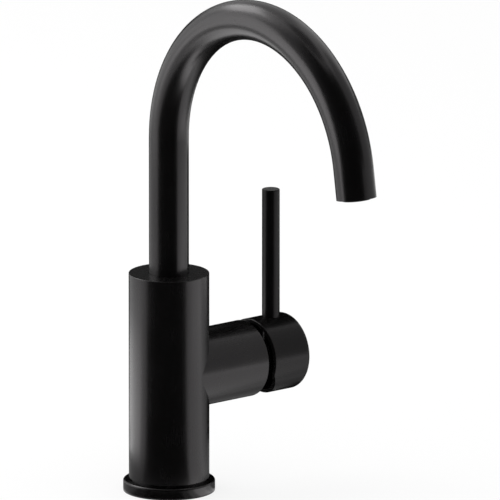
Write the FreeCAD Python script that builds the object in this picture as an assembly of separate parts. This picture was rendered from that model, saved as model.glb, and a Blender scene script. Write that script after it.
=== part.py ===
import FreeCAD, Part
import math
import os

# Gooseneck bar faucet with a single lever on its side.
# Millimetres. The origin is the centre of the base flange on the deck, +Z is up,
# the spout reaches towards -Y and the valve branch points towards +X.
# Only the shank has a cut thread. Other threads are plain cylinders at their
# outer diameter.

# Clearances
running_gap = 0.1            # radial, between a turning piece and what it turns in
slip_gap = 0.05              # radial, between pieces pushed together by hand
bore_gap = 0.2               # radial, where a piece passes without being guided
moving_gap = 0.4             # between a moving piece and what it must not touch
cut_margin = 1.0             # how far a cutting shape runs past the face it opens
near = 0.001                 # two places this close are the same place

# Angles and counts that no design changes
full_turn = 360.0
half_turn = full_turn / 2
quarter_turn = full_turn / 4
hexagon_sides = 6

# Body casting, as seen from outside
column_radius = 22.6
column_height = 125.2        # deck to the flat top
column_edge_radius = 0.35
branch_height = 67.0         # deck to the valve's axis
branch_radius = 21.65
branch_reach = 55.1          # column's axis to the end of the branch
branch_edge_radius = 0.7

# Base flange and gasket
flange_radius = 25.8
flange_height = 6.3
flange_edge_radius = 1.1
flange_web = 2.5             # floor of the flange, under the casting
shadow_gap = 1.3             # open step between the flange and the column
neck_radius = 21.2           # casting's foot, inside the flange
gasket_inner_radius = 19.0
gasket_outer_radius = 23.0
gasket_thickness = 1.2

# Deck clamp
shank_radius = 16.5
shank_bore_radius = 14.0
shank_in_casting = 11.5      # length screwed into the casting
shank_bottom = 62.0          # below the deck
deck_thickness = 30.0
washer_radius = 24.0
rubber_washer_thickness = 3.0
steel_washer_thickness = 1.5
nut_across_flats = 42.0
nut_height = 9.0
nut_edge_chamfer = 1.0
thread_pitch = 2.3
thread_depth = 1.2
thread_crest_width = 0.5
thread_root_width = 0.6

# Hose inlets and waterways in the casting
inlet_thread_radius = 5.0
inlet_thread_depth = 12.0
inlet_spacing = 14.0         # between the hot and the cold inlet
inlet_offset = 4.0           # behind the column's axis
inlet_passage_radius = 3.0
port_radius = 2.2
port_spacing = 13.0          # between the hot and the cold port
port_rise = 4.5              # above the valve's axis
outlet_port_radius = 2.6
outlet_port_drop = 3.5       # below the valve's axis
outlet_passage_radius = 3.0
outlet_offset = 6.0          # in front of the column's axis

# Gooseneck tube
tube_radius = 11.2
tube_wall = 1.2
arc_radius = 81.2
arc_height = 203.1           # deck to the centre of the arc
arc_angle = 171.0            # short of a half turn, so the end leans outward
nose_length = 16.9           # straight stretch after the arc

# Spout socket in the column, from the top down
tube_insertion = 12.5
hub_length = 19.0
hub_spigot_length = 10.0
hub_bore_radius = 7.5
thrust_washer_thickness = 1.0
bushing_drop = 3.5           # below the column's top
bushing_height = 4.0
bushing_wall = 2.0
seal_groove_depth = 1.9
seal_groove_width = 2.6
seal_pitch = 4.0
glide_groove_depth = 1.1
glide_ring_height = 2.4
groove_land = 1.0            # hub's rim left below and above the glide ring
lock_groove_depth = 2.0
lock_groove_width = 4.2
lock_groove_drop = 4.0       # centre of the groove below the tube's foot
lock_screw_radius = 2.5
lock_screw_length = 7.0
lock_tip_radius = 1.6
hex_key_across_flats = 2.5
hex_socket_depth = 2.6

# Outlet and aerator, measured along the tube's end
outlet_bushing_length = 12.0
outlet_bushing_wall = 1.9
outlet_ledge_height = 2.0
outlet_ledge_width = 1.6
aerator_proud = 0.9          # stands out of the tube's end
aerator_wall = 1.3
aerator_edge_radius = 0.4
screen_inset = 1.0           # behind the aerator's mouth
screen_thickness = 3.0
screen_hole_radius = 0.62
screen_hole_pitch = 1.75
screen_hole_rings = 3
first_ring_hole_count = 6
aerator_washer_thickness = 1.5

# Ceramic cartridge, stacked outward from the floor of its chamber
chamber_floor = 17.0         # column's axis to the floor
cartridge_radius = 17.5
housing_wall = 1.5
base_thickness = 5.0
port_seal_height = 1.2
port_seal_width = 1.0
fixed_disc_radius = 15.0
fixed_disc_thickness = 3.5
moving_disc_radius = 11.0
moving_disc_thickness = 3.5
inlet_slot_radius = 7.9
inlet_slot_width = 3.4
inlet_slot_start = 24.0      # degrees from straight up
inlet_slot_end = 58.0
mixing_pocket_radius = 3.6
mixing_pocket_length = 5.0
mixing_pocket_drop = 2.0
mixing_pocket_depth = 2.0
coupler_radius = 9.5
coupler_width = 16.0
coupler_thickness = 3.0
coupler_boss_radius = 6.0
ball_radius = 3.0
ball_play = 0.25
ball_floor = 1.5             # coupler's floor under the ball
ball_lift = 1.0              # room under the ball
coupler_boss_rise = 2.5      # boss top above the ball's centre
roof_thickness = 2.0
carrier_roof = 2.4
housing_neck_radius = 13.2
housing_neck_length = 7.0
carrier_neck_radius = 11.1
carrier_neck_proud = 1.6
lever_arm = 9.5              # ball to pivot
tilt_angle = 25.0            # lever's travel from shut to full flow
pivot_pin_radius = 2.0
pivot_pin_inset = 0.9
limit_ring_height = 1.5
limit_ring_lug_angle = 28.0
limit_window_depth = 1.6     # step in the carrier's neck that the lug runs in
limit_travel = 92.0          # how far the carrier may turn, both ways together

# Cartridge nut and bonnet dome
bonnet_thread_radius = 19.0
thread_runout = 1.5
cartridge_nut_height = 6.6
nut_slot_count = 6
nut_slot_width = 4.0
nut_slot_depth = 1.6
dome_shoulder_radius = 18.4  # where the dome leaves the end of the branch
dome_wall = 1.5
dome_rise = 4.3              # dome's rim past the end of the branch
dome_play = 1.1

# Lever stem, handle cap and lever rod
stem_width = 8.0
stem_arm_radius = 2.2
stem_root = 4.0              # square part starts this far inside the pivot
cap_gap = 4.6                # branch to cap
cap_radius = 21.65
cap_length = 25.8
cap_wall = 2.0
cap_end_wall = 3.0
cap_end_edge_radius = 2.4
cap_rim_edge_radius = 0.5
cap_hub_radius = 8.5
stem_socket_floor = 1.2
relief_angle = 26.0          # slanted cut under the cap, so that it can tilt
relief_drop = 6.7            # the cut starts this far below the axis
rod_radius = 5.0
rod_place = 14.2             # cap's rim to the rod's axis
rod_top = 161.8              # above the deck
rod_top_edge_radius = 0.5
rod_seat = 8.0               # rod's foot above the valve's axis
rod_spigot_radius = 3.0
handle_screw_radius = 2.5
plug_radius = 3.2
plug_thickness = 1.6

# Places worked out from the sizes above
column_foot = flange_height + shadow_gap
socket_radius = tube_radius + bore_gap
tube_foot = column_height - tube_insertion
hub_foot = tube_foot - hub_length
socket_floor = hub_foot - running_gap - thrust_washer_thickness
glide_ring_foot = hub_foot + groove_land
hub_radius = tube_radius - running_gap
tube_bore_radius = tube_radius - tube_wall
bushing_top = column_height - bushing_drop
bushing_foot = bushing_top - bushing_height
lock_height = tube_foot - lock_groove_drop
lock_groove_radius = hub_radius - lock_groove_depth
shank_top = flange_web + shank_in_casting
inlet_mouth = shank_top
washer_bore_radius = shank_radius + moving_gap
rubber_washer_foot = -deck_thickness - rubber_washer_thickness
steel_washer_foot = rubber_washer_foot - steel_washer_thickness

outlet_bore_radius = tube_bore_radius - outlet_bushing_wall
outlet_throat_radius = outlet_bore_radius - outlet_ledge_width
outlet_ledge_foot = outlet_bushing_length - outlet_ledge_height
aerator_radius = outlet_bore_radius - slip_gap
aerator_mouth = -aerator_proud
aerator_top = outlet_ledge_foot - aerator_washer_thickness
screen_radius = aerator_radius - aerator_wall

housing_bore_radius = cartridge_radius - housing_wall
fixed_disc_face = chamber_floor + base_thickness
moving_disc_face = fixed_disc_face + fixed_disc_thickness
coupler_face = moving_disc_face + moving_disc_thickness
ball_place = coupler_face + ball_floor + ball_lift + ball_radius
pivot_place = ball_place + lever_arm
boss_top = ball_place + coupler_boss_rise
carrier_shoulder = boss_top + moving_gap + carrier_roof
roof_face = carrier_shoulder + running_gap
housing_shoulder = roof_face + roof_thickness
housing_end = housing_shoulder + housing_neck_length
carrier_end = housing_end + carrier_neck_proud
cartridge_nut_end = housing_shoulder + cartridge_nut_height
limit_window_radius = carrier_neck_radius - limit_window_depth

tilt = math.radians(tilt_angle)
disc_stroke = lever_arm * math.sin(tilt)
half_stem = stem_width / 2
dome_radius = math.hypot(branch_reach - pivot_place, dome_shoulder_radius)
dome_end = branch_reach + dome_rise
dome_depth = dome_end - pivot_place
stem_dip = dome_depth * math.tan(tilt) + half_stem / math.cos(tilt)
dome_hole_radius = math.hypot(stem_dip, half_stem) + dome_play

cap_rim = branch_reach + cap_gap
cap_end = cap_rim + cap_length
cap_cavity_radius = cap_radius - cap_wall
cap_cavity_end = cap_end - cap_end_wall
cap_hub_start = pivot_place + dome_radius + cut_margin
stem_end = cap_cavity_end - stem_socket_floor
rod_axis = cap_rim + rod_place

origin = FreeCAD.Vector(0, 0, 0)
x_axis = FreeCAD.Vector(1, 0, 0)
y_axis = FreeCAD.Vector(0, 1, 0)
z_axis = FreeCAD.Vector(0, 0, 1)
hot_and_cold = (-1, 1)


# Shapes. Upright ones stand on the Z axis. Those of the valve lie along +X on
# the valve's axis, and their rise and side are measured from that axis.

def upright(radius, low, high, x=0.0, y=0.0):
    return Part.makeCylinder(radius, high - low, FreeCAD.Vector(x, y, low), z_axis)


def upright_ring(inner, outer, low, high):
    return upright(outer, low, high).cut(upright(inner, low, high))


def lying(radius, start, end, side=0.0, rise=0.0):
    foot = FreeCAD.Vector(start, side, branch_height + rise)
    return Part.makeCylinder(radius, end - start, foot, x_axis)


def lying_ring(inner, outer, start, end):
    return lying(outer, start, end).cut(lying(inner, start, end))


def lying_box(start, end, width, low, high):
    corner = FreeCAD.Vector(start, -width / 2, branch_height + low)
    return Part.makeBox(end - start, width, high - low, corner)


def crosswise(radius, low, high, x, z):
    return Part.makeCylinder(radius, high - low, FreeCAD.Vector(x, low, z), y_axis)


def lying_sector(inner, outer, start, end, from_angle, to_angle):
    # angles are measured about the valve's axis, from straight up towards -Y
    corners = [(start, inner), (end, inner), (end, outer), (start, outer), (start, inner)]
    outline = [FreeCAD.Vector(x, 0, branch_height + rise) for x, rise in corners]
    section = Part.Face(Part.makePolygon(outline))
    centre = FreeCAD.Vector(0, 0, branch_height)
    section.rotate(centre, x_axis, from_angle)
    return section.revolve(centre, x_axis, to_angle - from_angle)


def rounded(shape, radius, along, place):
    # rounds the edges that lie flat at one place along X or Z
    chosen = []
    for edge in shape.Edges:
        box = edge.BoundBox
        ends = (box.XMin, box.XMax) if along == "x" else (box.ZMin, box.ZMax)
        if abs(ends[0] - place) < near and abs(ends[1] - place) < near:
            chosen.append(edge)
    return shape.makeFillet(radius, chosen)


def hexagon_corner_radius(across_flats):
    return across_flats / 2 / math.cos(math.pi / hexagon_sides)


def hexagon_prism(across_flats, length):
    radius = hexagon_corner_radius(across_flats)
    corners = []
    for step in range(hexagon_sides):
        turn = 2 * math.pi * step / hexagon_sides
        corners.append(FreeCAD.Vector(radius * math.cos(turn), radius * math.sin(turn), 0))
    outline = Part.makePolygon(corners + corners[:1])
    return Part.Face(outline).extrude(z_axis * length)


# Root body: casting, flange, deck clamp

def make_faucet_body():
    column = upright(column_radius, column_foot, column_height)
    column = rounded(column, column_edge_radius, "z", column_height)
    branch = lying(branch_radius, 0, branch_reach)
    branch = rounded(branch, branch_edge_radius, "x", branch_reach)
    neck = upright(neck_radius, flange_web, column_foot)
    casting = column.fuse([branch, neck])
    casting = casting.cut(spout_socket_bores() + valve_chamber_bores() + waterways())
    return casting.removeSplitter()


def spout_socket_bores():
    screw_hole_start = lock_groove_radius + moving_gap
    return [
        upright(socket_radius, socket_floor, column_height + cut_margin),
        upright(socket_radius + bushing_wall, bushing_foot, bushing_top),
        crosswise(lock_screw_radius, screw_hole_start, column_radius + cut_margin, 0, lock_height),
        upright(shank_radius, flange_web - cut_margin, shank_top),
    ]


def valve_chamber_bores():
    return [
        lying(cartridge_radius + bore_gap, chamber_floor, housing_shoulder),
        lying(bonnet_thread_radius, housing_shoulder - thread_runout, branch_reach + cut_margin),
    ]


def waterways():
    port_height = branch_height + port_rise
    outlet_height = branch_height - outlet_port_drop
    outlet_foot = outlet_height - outlet_passage_radius
    chamber_end = chamber_floor + cut_margin
    passages = [
        upright(outlet_passage_radius, outlet_foot, socket_floor + cut_margin, outlet_offset),
        lying(outlet_port_radius, outlet_offset, chamber_end, 0, -outlet_port_drop),
    ]
    thread_start = inlet_mouth - cut_margin
    thread_end = inlet_mouth + inlet_thread_depth
    passage_top = port_height + inlet_passage_radius
    for hand in hot_and_cold:
        side = hand * inlet_spacing / 2
        passages += [
            upright(inlet_thread_radius, thread_start, thread_end, -inlet_offset, side),
            upright(inlet_passage_radius, inlet_mouth, passage_top, -inlet_offset, side),
            lying(port_radius, -inlet_offset, chamber_end, hand * port_spacing / 2, port_rise),
        ]
    return passages


def make_base_flange():
    outer = upright(flange_radius, 0, flange_height)
    outer = rounded(outer, flange_edge_radius, "z", flange_height)
    recess = upright(neck_radius + slip_gap, flange_web, flange_height + cut_margin)
    shank_hole = upright(washer_bore_radius, -cut_margin, flange_web + cut_margin)
    gasket_groove = upright_ring(
        gasket_inner_radius, gasket_outer_radius, -cut_margin, gasket_thickness
    )
    return outer.cut([recess, shank_hole, gasket_groove])


def make_base_gasket():
    return upright_ring(gasket_inner_radius, gasket_outer_radius, 0, gasket_thickness)


def make_mounting_shank():
    shank = upright_ring(shank_bore_radius, shank_radius, -shank_bottom, shank_top)
    return shank.cut(thread_groove(-shank_bottom, shank_top))


def thread_groove(low, high):
    # one groove that winds past both ends, its flanks run on beyond the crest
    start = low - thread_pitch
    length = high - low + 2 * thread_pitch
    helix = Part.makeLongHelix(thread_pitch, length, shank_radius, 0, False)
    helix.translate(z_axis * start)
    half_root = thread_root_width / 2
    half_mouth = (thread_pitch - thread_crest_width) / 2
    half_outside = half_mouth + thread_crest_width / 4
    root = shank_radius - thread_depth
    outside = root + thread_depth * (half_outside - half_root) / (half_mouth - half_root)
    corners = [
        FreeCAD.Vector(outside, 0, start - half_outside),
        FreeCAD.Vector(root, 0, start - half_root),
        FreeCAD.Vector(root, 0, start + half_root),
        FreeCAD.Vector(outside, 0, start + half_outside),
    ]
    section = Part.makePolygon(corners + corners[:1])
    return Part.Wire(helix).makePipeShell([section], True, True)


def make_rubber_washer():
    return upright_ring(washer_bore_radius, washer_radius, rubber_washer_foot, -deck_thickness)


def make_steel_washer():
    return upright_ring(washer_bore_radius, washer_radius, steel_washer_foot, rubber_washer_foot)


def make_mounting_nut():
    foot = steel_washer_foot - nut_height
    prism = hexagon_prism(nut_across_flats, nut_height)
    prism.translate(z_axis * foot)
    turned = upright(hexagon_corner_radius(nut_across_flats), foot, steel_washer_foot)
    rims = [edge for edge in turned.Edges if edge.BoundBox.ZLength < near]
    turned = turned.makeChamfer(nut_edge_chamfer, rims)
    return prism.common(turned).cut(upright(shank_radius, foot, steel_washer_foot))


# Root body: what holds the spout

def make_thrust_washer():
    top = socket_floor + thrust_washer_thickness
    return upright_ring(hub_bore_radius, socket_radius - slip_gap, socket_floor, top)


def make_spout_bushing():
    outer = socket_radius + bushing_wall
    return upright_ring(tube_radius + running_gap, outer, bushing_foot, bushing_top)


def make_spout_lock_screw():
    tip = lock_groove_radius + moving_gap
    thread_start = hub_radius + running_gap + moving_gap
    thread_end = thread_start + lock_screw_length
    screw = crosswise(lock_tip_radius, tip, thread_start, 0, lock_height)
    screw = screw.fuse(crosswise(lock_screw_radius, thread_start, thread_end, 0, lock_height))
    socket = hexagon_prism(hex_key_across_flats, hex_socket_depth + cut_margin)
    socket.rotate(origin, x_axis, -quarter_turn)
    socket.translate(FreeCAD.Vector(0, thread_end - hex_socket_depth, lock_height))
    return screw.cut(socket)


# Spout

def spout_tube_solid(radius):
    disc = Part.Face(Part.Wire(Part.makeCircle(radius, FreeCAD.Vector(0, 0, arc_height), z_axis)))
    leg = upright(radius, tube_foot, arc_height)
    arc_centre = FreeCAD.Vector(0, -arc_radius, arc_height)
    bend = disc.revolve(arc_centre, x_axis, arc_angle)
    end_disc = disc.copy()
    end_disc.rotate(arc_centre, x_axis, arc_angle)
    nose = end_disc.extrude(outflow_direction() * nose_length)
    return leg.fuse([bend, nose])


def outflow_direction():
    turn = math.radians(arc_angle)
    return FreeCAD.Vector(0, -math.sin(turn), math.cos(turn))


def outlet_centre():
    turn = math.radians(arc_angle)
    bend_end_y = arc_radius * (math.cos(turn) - 1)
    bend_end = FreeCAD.Vector(0, bend_end_y, arc_height + arc_radius * math.sin(turn))
    return bend_end + outflow_direction() * nose_length


def in_nose(shape):
    # takes a piece that stands on the origin, mouth down, to the tube's end
    shape.rotate(origin, x_axis, arc_angle - half_turn)
    shape.translate(outlet_centre())
    return shape


def make_spout_tube():
    return spout_tube_solid(tube_radius).cut(spout_tube_solid(tube_bore_radius)).removeSplitter()


def seal_heights():
    lowest = glide_ring_foot + glide_ring_height + groove_land + seal_groove_width / 2
    return [lowest, lowest + seal_pitch]


def make_spout_hub():
    spigot_top = tube_foot + hub_spigot_length
    hub = upright(hub_radius, hub_foot, tube_foot)
    hub = hub.fuse(upright(tube_bore_radius, tube_foot, spigot_top))
    cuts = [
        hub_groove(seal_groove_depth, height - seal_groove_width / 2, seal_groove_width)
        for height in seal_heights()
    ]
    cuts.append(hub_groove(glide_groove_depth, glide_ring_foot, glide_ring_height))
    cuts.append(hub_groove(lock_groove_depth, lock_height - lock_groove_width / 2, lock_groove_width))
    cuts.append(upright(hub_bore_radius, hub_foot - cut_margin, spigot_top + cut_margin))
    return hub.cut(cuts)


def hub_groove(depth, low, width):
    return upright_ring(hub_radius - depth, hub_radius + cut_margin, low, low + width)


def make_spout_seals():
    inner = hub_radius - seal_groove_depth
    outer = socket_radius - running_gap
    cord_radius = (outer - inner) / 2
    rings = []
    for height in seal_heights():
        rings.append(Part.makeTorus(inner + cord_radius, cord_radius, FreeCAD.Vector(0, 0, height), z_axis))
    return Part.makeCompound(rings)


def make_spout_glide_ring():
    inner = hub_radius - glide_groove_depth
    top = glide_ring_foot + glide_ring_height
    return upright_ring(inner, socket_radius - running_gap, glide_ring_foot, top)


# Outlet: each piece is drawn mouth down on the origin, then put in the nose

def make_outlet_bushing():
    bushing = upright(tube_bore_radius, 0, outlet_bushing_length)
    bore = upright(outlet_bore_radius, -cut_margin, outlet_ledge_foot)
    throat = upright(outlet_throat_radius, 0, outlet_bushing_length + cut_margin)
    return in_nose(bushing.cut([bore, throat]))


def make_aerator_housing():
    shell = upright(aerator_radius, aerator_mouth, aerator_top)
    shell = rounded(shell, aerator_edge_radius, "z", aerator_mouth)
    bore = upright(screen_radius, aerator_mouth - cut_margin, aerator_top + cut_margin)
    return in_nose(shell.cut(bore))


def make_aerator_screen():
    foot = aerator_mouth + screen_inset
    top = foot + screen_thickness
    plate = upright(screen_radius, foot, top)
    holes = []
    for ring in range(screen_hole_rings + 1):
        count = max(1, first_ring_hole_count * ring)
        for step in range(count):
            turn = 2 * math.pi * step / count
            x = ring * screen_hole_pitch * math.cos(turn)
            y = ring * screen_hole_pitch * math.sin(turn)
            holes.append(upright(screen_hole_radius, foot - cut_margin, top + cut_margin, x, y))
    return in_nose(plate.cut(holes))


def make_aerator_washer():
    outer = outlet_bore_radius - slip_gap
    return in_nose(upright_ring(outlet_throat_radius, outer, aerator_top, outlet_ledge_foot))


# Cartridge: what stays still

def ports(start, end, grow=0.0):
    cutters = [lying(outlet_port_radius + grow, start, end, 0, -outlet_port_drop)]
    for hand in hot_and_cold:
        cutters.append(lying(port_radius + grow, start, end, hand * port_spacing / 2, port_rise))
    return cutters


def make_cartridge_housing():
    shell = lying(cartridge_radius, chamber_floor, housing_shoulder)
    shell = shell.fuse(lying(housing_neck_radius, housing_shoulder, housing_end))
    inside = lying(housing_bore_radius, chamber_floor - cut_margin, roof_face)
    neck_bore = lying(carrier_neck_radius + running_gap, roof_face - cut_margin, housing_end + cut_margin)
    return shell.cut([inside, neck_bore])


def make_cartridge_base():
    base = lying(housing_bore_radius, chamber_floor, fixed_disc_face)
    seal_seats = ports(chamber_floor - cut_margin, chamber_floor + port_seal_height, port_seal_width)
    through = ports(chamber_floor - cut_margin, fixed_disc_face + cut_margin)
    return base.cut(seal_seats + through)


def make_port_seals():
    seals = []
    top = chamber_floor + port_seal_height
    outer_shapes = ports(chamber_floor, top, port_seal_width)
    for outer, inner in zip(outer_shapes, ports(chamber_floor, top)):
        seals.append(outer.cut(inner))
    return Part.makeCompound(seals)


def make_fixed_disc():
    disc = lying(fixed_disc_radius, fixed_disc_face, moving_disc_face)
    start = fixed_disc_face - cut_margin
    end = moving_disc_face + cut_margin
    inner = inlet_slot_radius - inlet_slot_width / 2
    outer = inner + inlet_slot_width
    openings = [
        lying(outlet_port_radius, start, end, 0, -outlet_port_drop),
        lying_sector(inner, outer, start, end, inlet_slot_start, inlet_slot_end),
        lying_sector(inner, outer, start, end, -inlet_slot_end, -inlet_slot_start),
    ]
    return disc.cut(openings)


def make_hot_limit_ring():
    end = housing_end + limit_ring_height
    ring = lying_ring(carrier_neck_radius + moving_gap, housing_neck_radius, housing_end, end)
    lug_half = limit_ring_lug_angle / 2
    lug_outer = (carrier_neck_radius + housing_neck_radius) / 2
    lug_inner = limit_window_radius + moving_gap
    lug = lying_sector(lug_inner, lug_outer, housing_end, end, -lug_half, lug_half)
    return ring.fuse(lug).removeSplitter()


def make_cartridge_nut():
    inner = housing_neck_radius + bore_gap
    nut = lying_ring(inner, bonnet_thread_radius, housing_shoulder, cartridge_nut_end)
    slot_floor = cartridge_nut_end - nut_slot_depth
    slot_end = cartridge_nut_end + cut_margin
    slot_reach = bonnet_thread_radius + cut_margin
    slots = []
    for step in range(nut_slot_count):
        slot = lying_box(slot_floor, slot_end, nut_slot_width, 0, slot_reach)
        slot.rotate(FreeCAD.Vector(0, 0, branch_height), x_axis, full_turn * step / nut_slot_count)
        slots.append(slot)
    return nut.cut(slots)


def make_bonnet_dome():
    pivot = FreeCAD.Vector(pivot_place, 0, branch_height)
    seat = lying(bonnet_thread_radius, cartridge_nut_end, branch_reach)
    ball = Part.makeSphere(dome_radius, pivot)
    ball = ball.common(lying(bonnet_thread_radius, branch_reach, dome_end))
    hollow = Part.makeSphere(dome_radius - dome_wall, pivot)
    hole = lying(dome_hole_radius, cartridge_nut_end - cut_margin, dome_end + cut_margin)
    return seat.fuse(ball).cut([hollow, hole]).removeSplitter()


# Cartridge: what turns with the lever

def make_lever_carrier():
    outer_radius = housing_bore_radius - running_gap
    carrier = lying(outer_radius, coupler_face + running_gap, carrier_shoulder)
    carrier = carrier.fuse(lying(carrier_neck_radius, carrier_shoulder, carrier_end))
    return carrier.cut([coupler_way(), boss_way(), stem_way(), make_pivot_pin(), limit_window()])


def coupler_way():
    start = coupler_face - cut_margin
    end = coupler_face + coupler_thickness + moving_gap
    width = coupler_width + 2 * running_gap
    half_length = coupler_radius + moving_gap
    return lying_box(start, end, width, -half_length, half_length + disc_stroke)


def boss_way():
    half_room = coupler_boss_radius + moving_gap
    end = boss_top + moving_gap
    return lying_box(coupler_face, end, 2 * half_room, -half_room, half_room + disc_stroke)


def stem_way():
    start = boss_top + moving_gap - cut_margin
    width = stem_width + 2 * running_gap
    outer_reach = carrier_end - pivot_place
    inner_reach = pivot_place - coupler_face - ball_radius
    dip = outer_reach * math.tan(tilt) + half_stem / math.cos(tilt) + moving_gap
    rise = inner_reach * math.tan(tilt) + stem_arm_radius / math.cos(tilt) + moving_gap
    return lying_box(start, carrier_end + cut_margin, width, -dip, rise)


def limit_window():
    half_window = (limit_travel + limit_ring_lug_angle) / 2
    outer = carrier_neck_radius + cut_margin
    end = carrier_end + cut_margin
    return lying_sector(limit_window_radius, outer, housing_end, end, -half_window, half_window)


def make_pivot_pin():
    reach = carrier_neck_radius - pivot_pin_inset
    return crosswise(pivot_pin_radius, -reach, reach, pivot_place, branch_height)


# Cartridge: what slides

def make_moving_disc():
    disc = lying(moving_disc_radius, moving_disc_face, coupler_face)
    start = moving_disc_face - cut_margin
    end = moving_disc_face + mixing_pocket_depth
    half_length = mixing_pocket_length / 2
    low = -mixing_pocket_drop - half_length
    high = -mixing_pocket_drop + half_length
    pocket = lying_box(start, end, 2 * mixing_pocket_radius, low, high)
    pocket = pocket.fuse([lying(mixing_pocket_radius, start, end, 0, rise) for rise in (low, high)])
    return disc.cut(pocket)


def make_disc_coupler():
    plate = lying(coupler_radius, coupler_face, coupler_face + coupler_thickness)
    plate = plate.common(lying_box(coupler_face, boss_top, coupler_width, -coupler_radius, coupler_radius))
    boss = lying(coupler_boss_radius, coupler_face, boss_top)
    ball_room = lying(ball_radius + ball_play, coupler_face + ball_floor, boss_top + cut_margin)
    return plate.fuse(boss).cut(ball_room).removeSplitter()


# Handle

def make_lever_stem():
    ball = Part.makeSphere(ball_radius, FreeCAD.Vector(ball_place, 0, branch_height))
    square_start = pivot_place - stem_root
    arm = lying(stem_arm_radius, ball_place, square_start + cut_margin)
    square = lying_box(square_start, stem_end, stem_width, -half_stem, half_stem)
    hole_radius = pivot_pin_radius + running_gap
    pin_hole = crosswise(hole_radius, -stem_width, stem_width, pivot_place, branch_height)
    return ball.fuse([arm, square]).cut(pin_hole)


def make_handle_cap():
    shell = lying(cap_radius, cap_rim, cap_end)
    shell = rounded(shell, cap_end_edge_radius, "x", cap_end)
    shell = rounded(shell, cap_rim_edge_radius, "x", cap_rim)
    shell = shell.cut(lying(cap_cavity_radius, cap_rim - cut_margin, cap_cavity_end))
    shell = shell.fuse(lying(cap_hub_radius, cap_hub_start, cap_cavity_end + cut_margin))
    socket_half = half_stem + slip_gap
    socket_start = cap_hub_start - cut_margin
    top = branch_height + cap_radius + cut_margin
    foot = branch_height - cap_radius - cut_margin
    hub_foot_height = branch_height - cap_hub_radius - cut_margin
    cavity_foot = branch_height - cap_cavity_radius + cut_margin
    cuts = [
        lying_box(socket_start, stem_end + slip_gap, 2 * socket_half, -socket_half, socket_half),
        upright(rod_radius + slip_gap, branch_height + rod_seat, top, rod_axis),
        upright(rod_spigot_radius, branch_height, top, rod_axis),
        upright(handle_screw_radius, hub_foot_height, branch_height, rod_axis),
        upright(plug_radius, foot, cavity_foot, rod_axis),
        tilt_relief(),
    ]
    return shell.cut(cuts).removeSplitter()


def tilt_relief():
    # a wedge with its edge across the rim, opening downward
    slope = math.tan(math.radians(relief_angle))
    depth = cap_radius + cut_margin
    edge_height = branch_height - relief_drop
    start = FreeCAD.Vector(cap_rim - cut_margin, -depth, edge_height + cut_margin / slope)
    far = FreeCAD.Vector(cap_rim + (depth - relief_drop) * slope, -depth, branch_height - depth)
    under = FreeCAD.Vector(start.x, -depth, far.z)
    side = Part.Face(Part.makePolygon([start, far, under, start]))
    return side.extrude(y_axis * (2 * depth))


def make_lever_rod():
    seat = branch_height + rod_seat
    rod = upright(rod_radius, seat, rod_top, rod_axis)
    rod = rounded(rod, rod_top_edge_radius, "z", rod_top)
    spigot_foot = branch_height + half_stem + slip_gap
    return rod.fuse(upright(rod_spigot_radius, spigot_foot, seat, rod_axis))


def make_handle_set_screw():
    tip = branch_height - half_stem
    foot = branch_height - cap_hub_radius + slip_gap
    screw = upright(handle_screw_radius, foot, tip, rod_axis)
    socket = hexagon_prism(hex_key_across_flats, hex_socket_depth)
    socket.translate(FreeCAD.Vector(rod_axis, 0, foot))
    return screw.cut(socket)


def make_screw_cover_plug():
    top = branch_height - cap_radius + plug_thickness
    plug = upright(plug_radius, branch_height - cap_radius, top, rod_axis)
    return plug.common(lying(cap_radius, cap_rim, cap_end))


makers = {
    "faucet_body": make_faucet_body,
    "base_flange": make_base_flange,
    "base_gasket": make_base_gasket,
    "mounting_shank": make_mounting_shank,
    "rubber_washer": make_rubber_washer,
    "steel_washer": make_steel_washer,
    "mounting_nut": make_mounting_nut,
    "thrust_washer": make_thrust_washer,
    "spout_bushing": make_spout_bushing,
    "spout_lock_screw": make_spout_lock_screw,
    "spout_tube": make_spout_tube,
    "spout_hub": make_spout_hub,
    "spout_seals": make_spout_seals,
    "spout_glide_ring": make_spout_glide_ring,
    "outlet_bushing": make_outlet_bushing,
    "aerator_housing": make_aerator_housing,
    "aerator_screen": make_aerator_screen,
    "aerator_washer": make_aerator_washer,
    "cartridge_housing": make_cartridge_housing,
    "cartridge_base": make_cartridge_base,
    "port_seals": make_port_seals,
    "fixed_disc": make_fixed_disc,
    "hot_limit_ring": make_hot_limit_ring,
    "cartridge_nut": make_cartridge_nut,
    "bonnet_dome": make_bonnet_dome,
    "lever_carrier": make_lever_carrier,
    "pivot_pin": make_pivot_pin,
    "moving_disc": make_moving_disc,
    "disc_coupler": make_disc_coupler,
    "lever_stem": make_lever_stem,
    "handle_cap": make_handle_cap,
    "lever_rod": make_lever_rod,
    "handle_set_screw": make_handle_set_screw,
    "screw_cover_plug": make_screw_cover_plug,
}

os.makedirs("parts", exist_ok=True)
for name, make in makers.items():
    shape = make()
    shape.exportStep("parts/" + name + ".step")
    print(name, "solids", len(shape.Solids), "volume", round(shape.Volume, 1), "valid", shape.isValid())
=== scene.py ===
import math

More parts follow.
